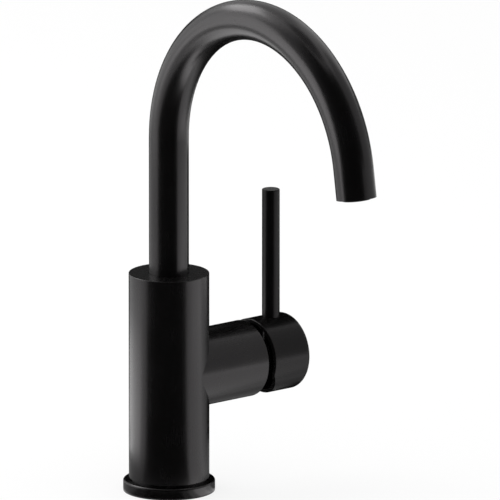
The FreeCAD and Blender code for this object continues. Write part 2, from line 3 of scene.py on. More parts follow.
import bpy
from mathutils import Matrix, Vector


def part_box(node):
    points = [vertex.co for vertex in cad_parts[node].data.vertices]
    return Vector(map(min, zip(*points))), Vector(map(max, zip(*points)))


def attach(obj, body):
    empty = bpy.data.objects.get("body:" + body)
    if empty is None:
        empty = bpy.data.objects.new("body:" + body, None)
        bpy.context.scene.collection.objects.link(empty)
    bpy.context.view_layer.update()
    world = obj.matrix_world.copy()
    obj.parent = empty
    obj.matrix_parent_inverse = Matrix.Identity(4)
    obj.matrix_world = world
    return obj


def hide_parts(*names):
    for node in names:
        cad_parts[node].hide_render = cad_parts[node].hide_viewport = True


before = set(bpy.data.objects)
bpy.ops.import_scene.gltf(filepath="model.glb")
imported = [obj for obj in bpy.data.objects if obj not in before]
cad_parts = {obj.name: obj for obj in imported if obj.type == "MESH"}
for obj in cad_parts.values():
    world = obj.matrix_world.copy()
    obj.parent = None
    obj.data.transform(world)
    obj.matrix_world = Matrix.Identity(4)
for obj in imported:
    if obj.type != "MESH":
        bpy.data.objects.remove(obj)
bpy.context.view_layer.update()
mm = 0.001
print("frame loaded:", len(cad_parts), "nodes")


# Camera, at the photograph's angle

cameraSetup = {
    "azimuth": -39.47,                 # degrees
    "elevation": 14.05,
    "lookAt": (0.0557, -0.0037, 0.1300),
    "distance": 13.0,                  # far off with a long lens, so that upright edges stay parallel
    "lens": 1669.0,
    "clipEnd": 39.0,
}


def viewDirection(azimuth, elevation):
    flat = math.cos(math.radians(elevation))
    turn = math.radians(azimuth)
    return Vector((math.sin(turn) * flat, -math.cos(turn) * flat, math.sin(math.radians(elevation))))


def addCamera():
    towardsCamera = viewDirection(cameraSetup["azimuth"], cameraSetup["elevation"])
    data = bpy.data.cameras.new("photoCamera")
    data.lens = cameraSetup["lens"]
    data.clip_end = cameraSetup["clipEnd"]
    camera = bpy.data.objects.new("photoCamera", data)
    camera.location = Vector(cameraSetup["lookAt"]) + towardsCamera * cameraSetup["distance"]
    camera.rotation_euler = towardsCamera.to_track_quat("Z", "Y").to_euler()
    bpy.context.collection.objects.link(camera)
    bpy.context.scene.camera = camera


addCamera()
print("camera placed")


# Node helpers

def wire(tree, pairs):
    for source, target in pairs:
        tree.links.new(source, target)


def addNode(tree, kind, **settings):
    node = tree.nodes.new(kind)
    for name, value in settings.items():
        if name in node.inputs:
            node.inputs[name].default_value = value
        else:
            setattr(node, name, value)
    return node


def setOrLink(tree, socket, value):
    if isinstance(value, (int, float)):
        socket.default_value = value
    else:
        tree.links.new(value, socket)


def mathNode(tree, operation, first, second=0.0):
    node = tree.nodes.new("ShaderNodeMath")
    node.operation = operation
    for socket, value in zip(node.inputs, (first, second)):
        setOrLink(tree, socket, value)
    return node.outputs[0]


def spread(tree, value, low, high, newLow=0.0, newHigh=1.0):
    # stretches low to high over newLow to newHigh, and holds the ends
    node = tree.nodes.new("ShaderNodeMapRange")
    tree.links.new(value, node.inputs["Value"])
    for label, limit in (("From Min", low), ("From Max", high), ("To Min", newLow), ("To Max", newHigh)):
        node.inputs[label].default_value = limit
    return node.outputs["Result"]


def distanceNode(tree, across, along):
    squares = mathNode(tree, "ADD", mathNode(tree, "MULTIPLY", across, across),
                       mathNode(tree, "MULTIPLY", along, along))
    return mathNode(tree, "SQRT", squares)


def seenMask(tree):
    # 1 where it is seen, straight, in a reflection or through glass, and 0 where it only lights
    path = addNode(tree, "ShaderNodeLightPath")
    seen = mathNode(tree, "MAXIMUM", path.outputs["Is Camera Ray"], path.outputs["Is Glossy Ray"])
    return mathNode(tree, "MAXIMUM", seen, path.outputs["Is Transmission Ray"])


# Modelling helpers

def deselectAll():
    bpy.ops.object.select_all(action="DESELECT")


def profileObject(name, points):
    # one vertex, extruded along the outline, points as (radius, height)
    deselectAll()
    bpy.ops.mesh.primitive_plane_add(size=mm)
    piece = bpy.context.object
    piece.name = name
    bpy.ops.object.mode_set(mode="EDIT")
    bpy.ops.mesh.select_all(action="SELECT")
    bpy.ops.mesh.merge(type="CENTER")
    places = [Vector((radius, 0, height)) for radius, height in points]
    bpy.ops.transform.translate(value=places[0])
    for here, there in zip(places, places[1:]):
        bpy.ops.mesh.extrude_region_move(TRANSFORM_OT_translate={"value": there - here})
    bpy.ops.object.mode_set(mode="OBJECT")
    return piece


def spinProfile(piece, steps, angle):
    bpy.ops.object.mode_set(mode="EDIT")
    bpy.ops.mesh.select_all(action="SELECT")
    bpy.ops.mesh.spin(steps=steps, angle=angle, center=(0, 0, 0), axis=(0, 0, 1))
    bpy.ops.object.mode_set(mode="OBJECT")


# Stage: floor, world, softboxes and the dark and bright cards of a studio

stageSetup = {
    "floorSize": 8.0,
    "floorDrop": 0.1 * mm,             # keeps the floor's plane off the flange's flat underside
    "floorColour": (0.97, 0.97, 0.97, 1.0),
    "floorRoughness": 0.9,
    "floorWhite": 0.80,                # share of plain white where the floor is seen
    "worldWhite": 1.0,                 # brightness of the world where it is seen
    "worldLight": 0.85,                # and where it lights
    "aimHeight": 0.12,                 # of the point that the softboxes face, over the deck
    "matHeight": 0.2 * mm,             # of the cards that lie on the floor
    "cardSteps": 24,
}

softboxes = {
    # degrees to the left of the camera, distance, height, width, depth, watts, seen in reflections
    "leftBox": (104, 1.00, 0.66, 0.80, 0.50, 2.6, False),
    "archStrip": (133, 1.00, 1.08, 0.70, 0.56, 3.7, True),
    "rightBox": (-84, 1.10, 0.40, 0.60, 0.50, 0.8, False),
}


def aroundObject(angle, distance, height):
    outward = viewDirection(cameraSetup["azimuth"] - angle, 0)
    return outward * distance + Vector((0, 0, height))


def addFloor():
    low = -stageSetup["floorDrop"]
    bpy.ops.mesh.primitive_plane_add(size=stageSetup["floorSize"], location=(0, 0, low))
    floor = bpy.context.object
    floor.name = "floor"
    paint = bpy.data.materials.new("paleFloor")
    paint.use_nodes = True
    tree = paint.node_tree
    surface = tree.nodes["Principled BSDF"]
    surface.inputs["Base Color"].default_value = stageSetup["floorColour"]
    surface.inputs["Roughness"].default_value = stageSetup["floorRoughness"]
    surface.inputs["Specular IOR Level"].default_value = 0.0
    glow = addNode(tree, "ShaderNodeEmission", Strength=1.0)
    share = mathNode(tree, "MULTIPLY", seenMask(tree), stageSetup["floorWhite"])
    mix = addNode(tree, "ShaderNodeMixShader")
    wire(tree, [
        (share, mix.inputs[0]),
        (surface.outputs[0], mix.inputs[1]),
        (glow.outputs[0], mix.inputs[2]),
        (mix.outputs[0], tree.nodes["Material Output"].inputs["Surface"]),
    ])
    floor.data.materials.append(paint)


def lightWorld():
    world = bpy.data.worlds.new("studio")
    bpy.context.scene.world = world
    world.use_nodes = True
    world.cycles.sampling_method = "NONE"
    tree = world.node_tree
    sky = tree.nodes["Background"]
    sky.inputs["Color"].default_value = (1, 1, 1, 1)
    difference = stageSetup["worldWhite"] - stageSetup["worldLight"]
    strength = mathNode(tree, "MULTIPLY", seenMask(tree), difference)
    strength = mathNode(tree, "ADD", strength, stageSetup["worldLight"])
    tree.links.new(strength, sky.inputs["Strength"])


def addSoftbox(name, angle, distance, height, width, depth, watts, reflected):
    data = bpy.data.lights.new(name, "AREA")
    data.shape = "RECTANGLE"
    data.size = width
    data.size_y = depth
    data.energy = watts
    box = bpy.data.objects.new(name, data)
    box.location = aroundObject(angle, distance, height)
    aim = Vector((0, 0, stageSetup["aimHeight"])) - box.location
    box.rotation_euler = aim.to_track_quat("-Z", "Y").to_euler()
    box.visible_glossy = reflected
    bpy.context.collection.objects.link(box)


# Cards that only reflections see, as a photographer sets them round a glossy thing
standingCards = {
    # degrees from and to, left of the camera; distance; foot and top; brightness
    "frontCard": (-50, 66, 3.40, 0.0, 8.80, 0.0),
    "rightFlag": (-68, -50, 3.30, 0.45, 8.80, 0.03),
    "leftFlag": (66, 84, 3.30, 1.05, 8.80, 0.3),
    "leftPaleFlag": (84, 100, 3.28, 1.70, 8.80, 0.75),
    "leftCard": (64, 150, 0.38, 0.0, 0.125, 0.62),
    "leftSky": (66, 104, 3.60, 0.0, 4.40, 2.05),
    "leftMiddleSky": (104, 122, 3.60, 0.0, 4.40, 1.45),
    "leftEdgeSky": (122, 150, 3.60, 0.0, 4.40, 0.80),
    "rightCard": (-128, -50, 3.35, 0.0, 5.90, 0.42),
    "backCard": (150, 232, 1.50, 0.0, 0.50, 0.05),
    "backSky": (150, 197, 1.52, 0.50, 3.60, 0.62),
    "columnBackCard": (150, 197, 0.12, 0.0, 0.125, 0.0),
    "columnTopCard": (150, 197, 0.12, 0.125, 0.26, 0.055),
    "branchBackCard": (197, 232, 0.12, 0.0, 0.17, 0.0),
}

floorCards = {
    # degrees from and to, left of the camera; near and far edge; brightness
    "frontGlow": (-50, 66, 0.052, 0.15, 2.8),
    "frontContact": (-22, 40, 0.027, 0.05, 0.0),
    "frontMat": (-50, 66, 0.15, 3.40, 0.0),
    "leftContact": (40, 62, 0.027, 0.05, 0.06),
    "leftEdgeContact": (62, 150, 0.027, 0.05, 0.28),
    "leftShade": (66, 150, 0.05, 0.10, 0.3),
    "leftDim": (68, 84, 0.10, 0.375, 0.8),
    "leftGlow": (84, 132, 0.10, 0.375, 2.0),
    "leftEdge": (132, 150, 0.16, 0.375, 1.5),
    "leftField": (66, 150, 0.39, 0.90, 1.8),
    "leftFarField": (66, 104, 0.90, 3.60, 2.0),
    "leftFarDim": (104, 150, 0.90, 3.60, 1.0),
    "rightContactFaint": (-34, -22, 0.027, 0.05, 0.22),
    "rightContactDim": (-46, -34, 0.027, 0.05, 0.65),
    "rightContact": (-72, -46, 0.027, 0.05, 1.6),
    "rightContactEdge": (-88, -72, 0.027, 0.05, 0.9),
    "rightContactShade": (-155, -88, 0.027, 0.05, 0.15),
    "rightGlow": (-104, -66, 0.16, 0.36, 1.0),
    "rightField": (-104, -66, 0.36, 0.60, 1.4),
    "rightFarField": (-128, -50, 0.80, 3.35, 0.5),
    "rightDim": (-118, -104, 0.05, 0.55, 0.55),
    "rightMat": (-155, -118, 0.050, 0.50, 0.25),
    "backMat": (150, 205, 0.030, 1.50, 0.02),
}

overheadCards = {
    # degrees from and to, left of the camera; near and far edge; height; brightness
    "branchRoof": (165, 232, 0.06, 0.22, 0.25, 0.0),
    "ceiling": (-128, 232, 0.02, 0.72, 2.40, 0.15),
}

# A honeycomb over one card hides it from what doesn't look squarely at it, by Layer Weight's Facing
honeycomb = {"card": "frontGlow", "shut": 0.234, "open": 0.0}


def addCard(name, fromAngle, toAngle, profile, brightness):
    # the profile starts on X, and the spin turns clockwise, which is leftwards from the camera
    card = profileObject(name, profile)
    spinProfile(card, stageSetup["cardSteps"], math.radians(toAngle - fromAngle))
    card.rotation_euler[2] = math.radians(cameraSetup["azimuth"] - 90 - fromAngle)
    card.visible_camera = False
    card.visible_diffuse = False
    card.visible_shadow = False
    card.visible_transmission = False
    felt = bpy.data.materials.new(name)
    felt.use_nodes = True
    tree = felt.node_tree
    surface = tree.nodes["Principled BSDF"]
    surface.inputs["Base Color"].default_value = (0, 0, 0, 1)
    surface.inputs["Specular IOR Level"].default_value = 0.0
    surface.inputs["Emission Color"].default_value = (1, 1, 1, 1)
    surface.inputs["Emission Strength"].default_value = brightness
    if name == honeycomb["card"]:
        slant = addNode(tree, "ShaderNodeLayerWeight", Blend=0.5).outputs["Facing"]
        glow = spread(tree, slant, honeycomb["shut"], honeycomb["open"], 0.0, brightness)
        tree.links.new(glow, surface.inputs["Emission Strength"])
    card.data.materials.append(felt)


def addFlatCard(name, fromAngle, toAngle, nearEdge, farEdge, height, brightness):
    addCard(name, fromAngle, toAngle, [(nearEdge, height), (farEdge, height)], brightness)


def addCards():
    for name, (fromAngle, toAngle, distance, low, high, brightness) in standingCards.items():
        addCard(name, fromAngle, toAngle, [(distance, low), (distance, high)], brightness)
    for name, (*place, brightness) in floorCards.items():
        addFlatCard(name, *place, stageSetup["matHeight"], brightness)
    for name, place in overheadCards.items():
        addFlatCard(name, *place)


addFloor()
lightWorld()
for name, place in softboxes.items():
    addSoftbox(name, *place)
addCards()
bpy.context.scene.view_settings.view_transform = "Standard"
print("stage and lights set")


# Shared effects, each built once. A place is a point of the piece, in metres

effectSetup = {
    "surfaceGrain": {"peelDetail": 2.0, "cloudDetail": 3.0, "cloudFrom": 0.35, "cloudTo": 0.65},
    "drawnStreaks": {"detail": 3.0, "shadeFrom": 0.3, "shadeTo": 0.7},
    "turnedMarks": {"detail": 2.0, "markFrom": 0.25, "markTo": 0.75, "wideMarks": 0.18},
    "edgeRub": {
        "samples": 6, "edgeFrom": 0.995, "edgeTo": 0.90,
        "detail": 3.0, "rubFrom": 0.42, "rubTo": 0.60,
    },
    "dustFilm": {
        "upFrom": 0.5, "upTo": 1.0,
        "detail": 5.0, "patchFrom": 0.3, "patchTo": 0.7, "thinnest": 0.6,
    },
}


def startGroup(name, inputs, outputs):
    group = bpy.data.node_groups.new(name, "ShaderNodeTree")
    for label, kind, value in inputs:
        socket = group.interface.new_socket(label, in_out="INPUT", socket_type="NodeSocket" + kind)
        if kind == "Float":
            socket.default_value = value
    for label, kind in outputs:
        group.interface.new_socket(label, in_out="OUTPUT", socket_type="NodeSocket" + kind)
    return group, group.nodes.new("NodeGroupInput").outputs, group.nodes.new("NodeGroupOutput").inputs


def noiseNode(tree, place, scale, detail):
    noise = addNode(tree, "ShaderNodeTexNoise", Detail=detail)
    tree.links.new(place, noise.inputs["Vector"])
    setOrLink(tree, noise.inputs["Scale"], scale)
    return noise.outputs["Fac"]


def noiseOfSize(tree, place, size, detail):
    return noiseNode(tree, place, mathNode(tree, "DIVIDE", 1.0, size), detail)


def buildSurfaceGrain(setup):
    # the fine orange peel of a coat or a mould, and wide soft clouds
    group, given, made = startGroup(
        "surfaceGrain",
        [("Place", "Vector", None), ("Grain Size", "Float", 0.6 * mm), ("Cloud Size", "Float", 20 * mm)],
        [("Height", "Float"), ("Cloud", "Float")],
    )
    peel = noiseOfSize(group, given["Place"], given["Grain Size"], setup["peelDetail"])
    cloud = noiseOfSize(group, given["Place"], given["Cloud Size"], setup["cloudDetail"])
    wire(group, [
        (peel, made["Height"]),
        (spread(group, cloud, setup["cloudFrom"], setup["cloudTo"]), made["Cloud"]),
    ])
    return group


def buildDrawnStreaks(setup):
    # long faint marks along the place's Z axis
    group, given, made = startGroup(
        "drawnStreaks",
        [("Place", "Vector", None), ("Width", "Float", 1.2 * mm), ("Length", "Float", 30 * mm)],
        [("Shade", "Float")],
    )
    parts = addNode(group, "ShaderNodeSeparateXYZ")
    joined = addNode(group, "ShaderNodeCombineXYZ")
    group.links.new(given["Place"], parts.inputs[0])
    for axis, size in (("X", "Width"), ("Y", "Width"), ("Z", "Length")):
        group.links.new(mathNode(group, "DIVIDE", parts.outputs[axis], given[size]), joined.inputs[axis])
    streak = noiseNode(group, joined.outputs[0], 1.0, setup["detail"])
    group.links.new(spread(group, streak, setup["shadeFrom"], setup["shadeTo"]), made["Shade"])
    return group


def buildTurnedMarks(setup):
    # tool marks of a lathe that turned the piece about the place's Z axis, on its sides and its ends
    group, given, made = startGroup(
        "turnedMarks",
        [("Place", "Vector", None), ("Pitch", "Float", 0.4 * mm)],
        [("Height", "Float"), ("Shade", "Float")],
    )
    parts = addNode(group, "ShaderNodeSeparateXYZ")
    group.links.new(given["Place"], parts.inputs[0])
    outward = distanceNode(group, parts.outputs["X"], parts.outputs["Y"])
    travel = mathNode(group, "ADD", outward, parts.outputs["Z"])
    turns = mathNode(group, "DIVIDE", travel, given["Pitch"])
    for label, share in (("Height", 1.0), ("Shade", setup["wideMarks"])):
        ring = addNode(group, "ShaderNodeTexNoise", noise_dimensions="1D", Scale=1.0)
        ring.inputs["Detail"].default_value = setup["detail"]
        group.links.new(mathNode(group, "MULTIPLY", turns, share), ring.inputs["W"])
        group.links.new(spread(group, ring.outputs["Fac"], setup["markFrom"], setup["markTo"]), made[label])
    return group


def buildEdgeRub(setup):
    # corners that cleaning has rubbed, where the rounded normal leaves the true one
    group, given, made = startGroup(
        "edgeRub",
        [("Place", "Vector", None), ("Width", "Float", 0.4 * mm), ("Patch Size", "Float", 4 * mm)],
        [("Mask", "Float")],
    )
    rounded = addNode(group, "ShaderNodeBevel", samples=setup["samples"])
    shape = addNode(group, "ShaderNodeNewGeometry")
    meet = addNode(group, "ShaderNodeVectorMath", operation="DOT_PRODUCT")
    wire(group, [
        (given["Width"], rounded.inputs["Radius"]),
        (rounded.outputs[0], meet.inputs[0]),
        (shape.outputs["Normal"], meet.inputs[1]),
    ])
    edge = spread(group, meet.outputs["Value"], setup["edgeFrom"], setup["edgeTo"])
    patches = noiseOfSize(group, given["Place"], given["Patch Size"], setup["detail"])
    kept = spread(group, patches, setup["rubFrom"], setup["rubTo"])
    group.links.new(mathNode(group, "MULTIPLY", edge, kept), made["Mask"])
    return group


def buildDustFilm(setup):
    # a thin uneven film on what faces up
    group, given, made = startGroup(
        "dustFilm",
        [("Place", "Vector", None), ("Patch Size", "Float", 6 * mm), ("Amount", "Float", 0.2)],
        [("Mask", "Float")],
    )
    shape = addNode(group, "ShaderNodeNewGeometry")
    parts = addNode(group, "ShaderNodeSeparateXYZ")
    group.links.new(shape.outputs["Normal"], parts.inputs[0])
    up = spread(group, parts.outputs["Z"], setup["upFrom"], setup["upTo"])
    patches = noiseOfSize(group, given["Place"], given["Patch Size"], setup["detail"])
    uneven = spread(group, patches, setup["patchFrom"], setup["patchTo"], setup["thinnest"], 1.0)
    film = mathNode(group, "MULTIPLY", up, uneven)
    group.links.new(mathNode(group, "MULTIPLY", film, given["Amount"]), made["Mask"])
    return group


effects = {
    "surfaceGrain": buildSurfaceGrain(effectSetup["surfaceGrain"]),
    "drawnStreaks": buildDrawnStreaks(effectSetup["drawnStreaks"]),
    "turnedMarks": buildTurnedMarks(effectSetup["turnedMarks"]),
    "edgeRub": buildEdgeRub(effectSetup["edgeRub"]),
    "dustFilm": buildDustFilm(effectSetup["dustFilm"]),
}
print("shared effects built:", len(effects))


def useEffect(tree, name, place, **values):
    # Grain_Size here is the socket Grain Size, and so on
    node = tree.nodes.new("ShaderNodeGroup")
    node.node_tree = effects[name]
    node.label = name
    tree.links.new(place, node.inputs["Place"])
    for label, value in values.items():
        node.inputs[label.replace("_", " ")].default_value = value
    return node.outputs


# What each material starts from

def startMaterial(name):
    paint = bpy.data.materials.new(name)
    paint.use_nodes = True
    tree = paint.node_tree
    return paint, tree, tree.nodes["Principled BSDF"]


def objectPlace(tree):
    return addNode(tree, "ShaderNodeTexCoord").outputs["Object"]


def turnedPlace(tree, place, centre, turnDegrees):
    # moves a centre to nought, then turns the axis of the piece on to Z
    shifted = addNode(tree, "ShaderNodeVectorMath", operation="SUBTRACT")
    tree.links.new(place, shifted.inputs[0])
    shifted.inputs[1].default_value = centre
    mapping = addNode(tree, "ShaderNodeMapping", vector_type="POINT")
    mapping.inputs["Rotation"].default_value = [math.radians(angle) for angle in turnDegrees]
    tree.links.new(shifted.outputs[0], mapping.inputs["Vector"])
    return mapping.outputs[0]


def mixColours(tree, share, first, second):
    # inputs 6 and 7 and output 2 are the Mix node's colour sockets
    mix = addNode(tree, "ShaderNodeMix", data_type="RGBA")
    for socket, colour in ((mix.inputs[6], first), (mix.inputs[7], second)):
        if isinstance(colour, tuple):
            socket.default_value = colour + (1.0,)
        else:
            tree.links.new(colour, socket)
    tree.links.new(share, mix.inputs[0])
    return mix.outputs[2]


def mixMasks(tree, first, second, share):
    # a share of the first, and the rest of the second
    return mathNode(tree, "ADD", mathNode(tree, "MULTIPLY", first, share),
                    mathNode(tree, "MULTIPLY", second, 1 - share))


def coverSurface(tree, surface, colour, rough, heights):
    # each height comes with its depth, one bump on top of the other
    wire(tree, [(colour, surface.inputs["Base Color"]), (rough, surface.inputs["Roughness"])])
    normal = None
    for height, depth in heights:
        bump = addNode(tree, "ShaderNodeBump", Strength=1.0, Distance=depth)
        tree.links.new(height, bump.inputs["Height"])
        if normal:
            tree.links.new(normal, bump.inputs["Normal"])
        normal = bump.outputs[0]
    tree.links.new(normal, surface.inputs["Normal"])


# Satin black coat of the casting, flange, spout and handle

satinBlack = {
    "deep": (0.0022, 0.0021, 0.0021),
    "pale": (0.0033, 0.0031, 0.0032),
    "rubbed": (0.020, 0.019, 0.018),
    "dust": (0.050, 0.048, 0.046),
    "roughLow": 0.235,
    "roughHigh": 0.285,
    "dustRough": 0.5,                  # what full dust adds
    "specularTint": (1.0, 0.957, 0.978, 1.0),
    "peelSize": 0.7 * mm,
    "peelDepth": 0.0040 * mm,
    "cloudSize": 18 * mm,
    "streakWidth": 1.6 * mm,
    "streakLength": 45 * mm,
    "streakDepth": 0.0018 * mm,
    "streakShare": 0.5,                # of the tone, where the rest is clouds
    "rubWidth": 0.35 * mm,
    "rubPatch": 5 * mm,
    "dustPatch": 4 * mm,
    "dustAmount": 0.03,
}

valveHeight = 67.0 * mm
branchStart = 22.8 * mm                # outside the column
arch = {"radius": 81.2 * mm, "height": 203.1 * mm}


def alongBranch(tree):
    return turnedPlace(tree, objectPlace(tree), (0, 0, valveHeight), (0, -90, 0))


def alongColumn(tree):
    # up the column, and along the branch where that stands out of it
    place = objectPlace(tree)
    parts = addNode(tree, "ShaderNodeSeparateXYZ")
    tree.links.new(place, parts.inputs[0])
    outside = mathNode(tree, "GREATER_THAN", parts.outputs["X"], branchStart)
    mix = addNode(tree, "ShaderNodeMix", data_type="VECTOR")
    # inputs 4 and 5 and output 1 are the Mix node's vector sockets
    wire(tree, [
        (outside, mix.inputs[0]),
        (place, mix.inputs[4]),
        (alongBranch(tree), mix.inputs[5]),
    ])
    return mix.outputs[1]


def alongArch(tree):
    # straight up the leg, then round the arch: X stays, Y is across, Z is the way along
    parts = addNode(tree, "ShaderNodeSeparateXYZ")
    tree.links.new(objectPlace(tree), parts.inputs[0])
    rise = mathNode(tree, "SUBTRACT", parts.outputs["Z"], arch["height"])
    above = mathNode(tree, "MAXIMUM", rise, 0.0)
    below = mathNode(tree, "MINIMUM", rise, 0.0)
    side = mathNode(tree, "ADD", parts.outputs["Y"], arch["radius"])
    angle = mathNode(tree, "ARCTAN2", above, side)
    bend = mathNode(tree, "MULTIPLY", angle, arch["radius"])
    joined = addNode(tree, "ShaderNodeCombineXYZ")
    wire(tree, [
        (parts.outputs["X"], joined.inputs["X"]),
        (distanceNode(tree, above, side), joined.inputs["Y"]),
        (mathNode(tree, "ADD", bend, below), joined.inputs["Z"]),
    ])
    return joined.outputs[0]


def makeSatinBlack(name, along, specular):
    paint, tree, surface = startMaterial(name)
    place = objectPlace(tree)
    grain = useEffect(tree, "surfaceGrain", place,
                      Grain_Size=satinBlack["peelSize"], Cloud_Size=satinBlack["cloudSize"])
    streaks = useEffect(tree, "drawnStreaks", along(tree),
                        Width=satinBlack["streakWidth"], Length=satinBlack["streakLength"])
    rub = useEffect(tree, "edgeRub", place,
                    Width=satinBlack["rubWidth"], Patch_Size=satinBlack["rubPatch"])
    dust = useEffect(tree, "dustFilm", place,
                     Patch_Size=satinBlack["dustPatch"], Amount=satinBlack["dustAmount"])
    tone = mixMasks(tree, streaks["Shade"], grain["Cloud"], satinBlack["streakShare"])
    colour = mixColours(tree, tone, satinBlack["deep"], satinBlack["pale"])
    colour = mixColours(tree, rub["Mask"], colour, satinBlack["rubbed"])
    colour = mixColours(tree, dust["Mask"], colour, satinBlack["dust"])
    rough = spread(tree, tone, 0.0, 1.0, satinBlack["roughLow"], satinBlack["roughHigh"])
    rough = mathNode(tree, "ADD", rough, mathNode(tree, "MULTIPLY", dust["Mask"], satinBlack["dustRough"]))
    surface.inputs["Specular IOR Level"].default_value = specular
    surface.inputs["Specular Tint"].default_value = satinBlack["specularTint"]
    coverSurface(tree, surface, colour, rough, [
        (streaks["Shade"], satinBlack["streakDepth"]),
        (grain["Height"], satinBlack["peelDepth"]),
    ])
    return paint


# Moulded black plastic of the dome, plug and aerator

mouldedBlack = {
    "deep": (0.010, 0.010, 0.0105),
    "pale": (0.017, 0.017, 0.018),
    "rubbed": (0.045, 0.045, 0.046),
    "roughLow": 0.42,
    "roughHigh": 0.56,
    "grainSize": 0.35 * mm,
    "grainDepth": 0.012 * mm,
    "cloudSize": 9 * mm,
    "rubWidth": 0.3 * mm,
    "rubPatch": 3 * mm,
}


def makeMouldedBlack():
    paint, tree, surface = startMaterial("mouldedBlack")
    place = objectPlace(tree)
    grain = useEffect(tree, "surfaceGrain", place,
                      Grain_Size=mouldedBlack["grainSize"], Cloud_Size=mouldedBlack["cloudSize"])
    rub = useEffect(tree, "edgeRub", place,
                    Width=mouldedBlack["rubWidth"], Patch_Size=mouldedBlack["rubPatch"])
    colour = mixColours(tree, grain["Cloud"], mouldedBlack["deep"], mouldedBlack["pale"])
    colour = mixColours(tree, rub["Mask"], colour, mouldedBlack["rubbed"])
    rough = spread(tree, grain["Cloud"], 0.0, 1.0, mouldedBlack["roughLow"], mouldedBlack["roughHigh"])
    coverSurface(tree, surface, colour, rough, [(grain["Height"], mouldedBlack["grainDepth"])])
    return paint


# Turned metals: brass and stainless steel

turnedMetals = {
    "brass": {
        "bright": (0.78, 0.60, 0.31), "dull": (0.50, 0.345, 0.15), "rubbed": (0.90, 0.74, 0.44),
        "roughLow": 0.20, "roughHigh": 0.42, "pitch": 0.45 * mm, "markDepth": 0.010 * mm,
        "grainSize": 0.9 * mm, "grainDepth": 0.005 * mm, "cloudSize": 11 * mm,
    },
    "steel": {
        "bright": (0.66, 0.66, 0.67), "dull": (0.47, 0.47, 0.48), "rubbed": (0.80, 0.80, 0.80),
        "roughLow": 0.18, "roughHigh": 0.36, "pitch": 0.30 * mm, "markDepth": 0.006 * mm,
        "grainSize": 0.6 * mm, "grainDepth": 0.003 * mm, "cloudSize": 8 * mm,
    },
    "markShare": 0.35,                 # of the tone, where the rest is clouds
    "rubWidth": 0.3 * mm,
    "rubPatch": 2 * mm,
}


def makeTurnedMetal(name, kind, axisPlace):
    metal = turnedMetals[kind]
    paint, tree, surface = startMaterial(name)
    place = objectPlace(tree)
    marks = useEffect(tree, "turnedMarks", axisPlace(tree), Pitch=metal["pitch"])
    grain = useEffect(tree, "surfaceGrain", place,
                      Grain_Size=metal["grainSize"], Cloud_Size=metal["cloudSize"])
    rub = useEffect(tree, "edgeRub", place,
                    Width=turnedMetals["rubWidth"], Patch_Size=turnedMetals["rubPatch"])
    tone = mixMasks(tree, marks["Shade"], grain["Cloud"], turnedMetals["markShare"])
    colour = mixColours(tree, tone, metal["bright"], metal["dull"])
    colour = mixColours(tree, rub["Mask"], colour, metal["rubbed"])
    rough = spread(tree, tone, 0.0, 1.0, metal["roughLow"], metal["roughHigh"])
    surface.inputs["Metallic"].default_value = 1.0
    coverSurface(tree, surface, colour, rough, [
        (marks["Height"], metal["markDepth"]),
        (grain["Height"], metal["grainDepth"]),
    ])
    return paint


# Black rubber of washers and seals

blackRubber = {
    "deep": (0.018, 0.018, 0.018),
    "pale": (0.042, 0.041, 0.040),
    "bloom": (0.12, 0.118, 0.115),
    "roughLow": 0.62,
    "roughHigh": 0.82,
    "specular": 0.35,
    "grainSize": 0.5 * mm,
    "grainDepth": 0.030 * mm,
    "cloudSize": 6 * mm,
    "bloomPatch": 3 * mm,
    "bloomAmount": 0.5,
}


def makeBlackRubber():
    paint, tree, surface = startMaterial("blackRubber")
    place = objectPlace(tree)
    grain = useEffect(tree, "surfaceGrain", place,
                      Grain_Size=blackRubber["grainSize"], Cloud_Size=blackRubber["cloudSize"])
    bloom = useEffect(tree, "dustFilm", place,
                      Patch_Size=blackRubber["bloomPatch"], Amount=blackRubber["bloomAmount"])
    colour = mixColours(tree, grain["Cloud"], blackRubber["deep"], blackRubber["pale"])
    colour = mixColours(tree, bloom["Mask"], colour, blackRubber["bloom"])
    rough = spread(tree, grain["Cloud"], 0.0, 1.0, blackRubber["roughLow"], blackRubber["roughHigh"])
    surface.inputs["Specular IOR Level"].default_value = blackRubber["specular"]
    coverSurface(tree, surface, colour, rough, [(grain["Height"], blackRubber["grainDepth"])])
    return paint


# White acetal of the cartridge and the bearings, and its alumina discs

whites = {
    "acetal": {
        "clean": (0.84, 0.83, 0.80), "stained": (0.72, 0.70, 0.65), "edge": (0.90, 0.89, 0.87),
        "roughLow": 0.34, "roughHigh": 0.50, "grainSize": 0.8 * mm, "grainDepth": 0.012 * mm,
        "pitch": 0.9 * mm, "markDepth": 0.004 * mm,
    },
    "alumina": {
        "clean": (0.89, 0.88, 0.85), "stained": (0.80, 0.785, 0.745), "edge": (0.93, 0.92, 0.90),
        "roughLow": 0.08, "roughHigh": 0.20, "grainSize": 0.3 * mm, "grainDepth": 0.002 * mm,
        "pitch": 0.2 * mm, "markDepth": 0.001 * mm,
    },
    "cloudSize": 7 * mm,
    "stainShare": 0.6,                 # of the stained colour, at most
    "rubWidth": 0.3 * mm,
    "rubPatch": 3 * mm,
}


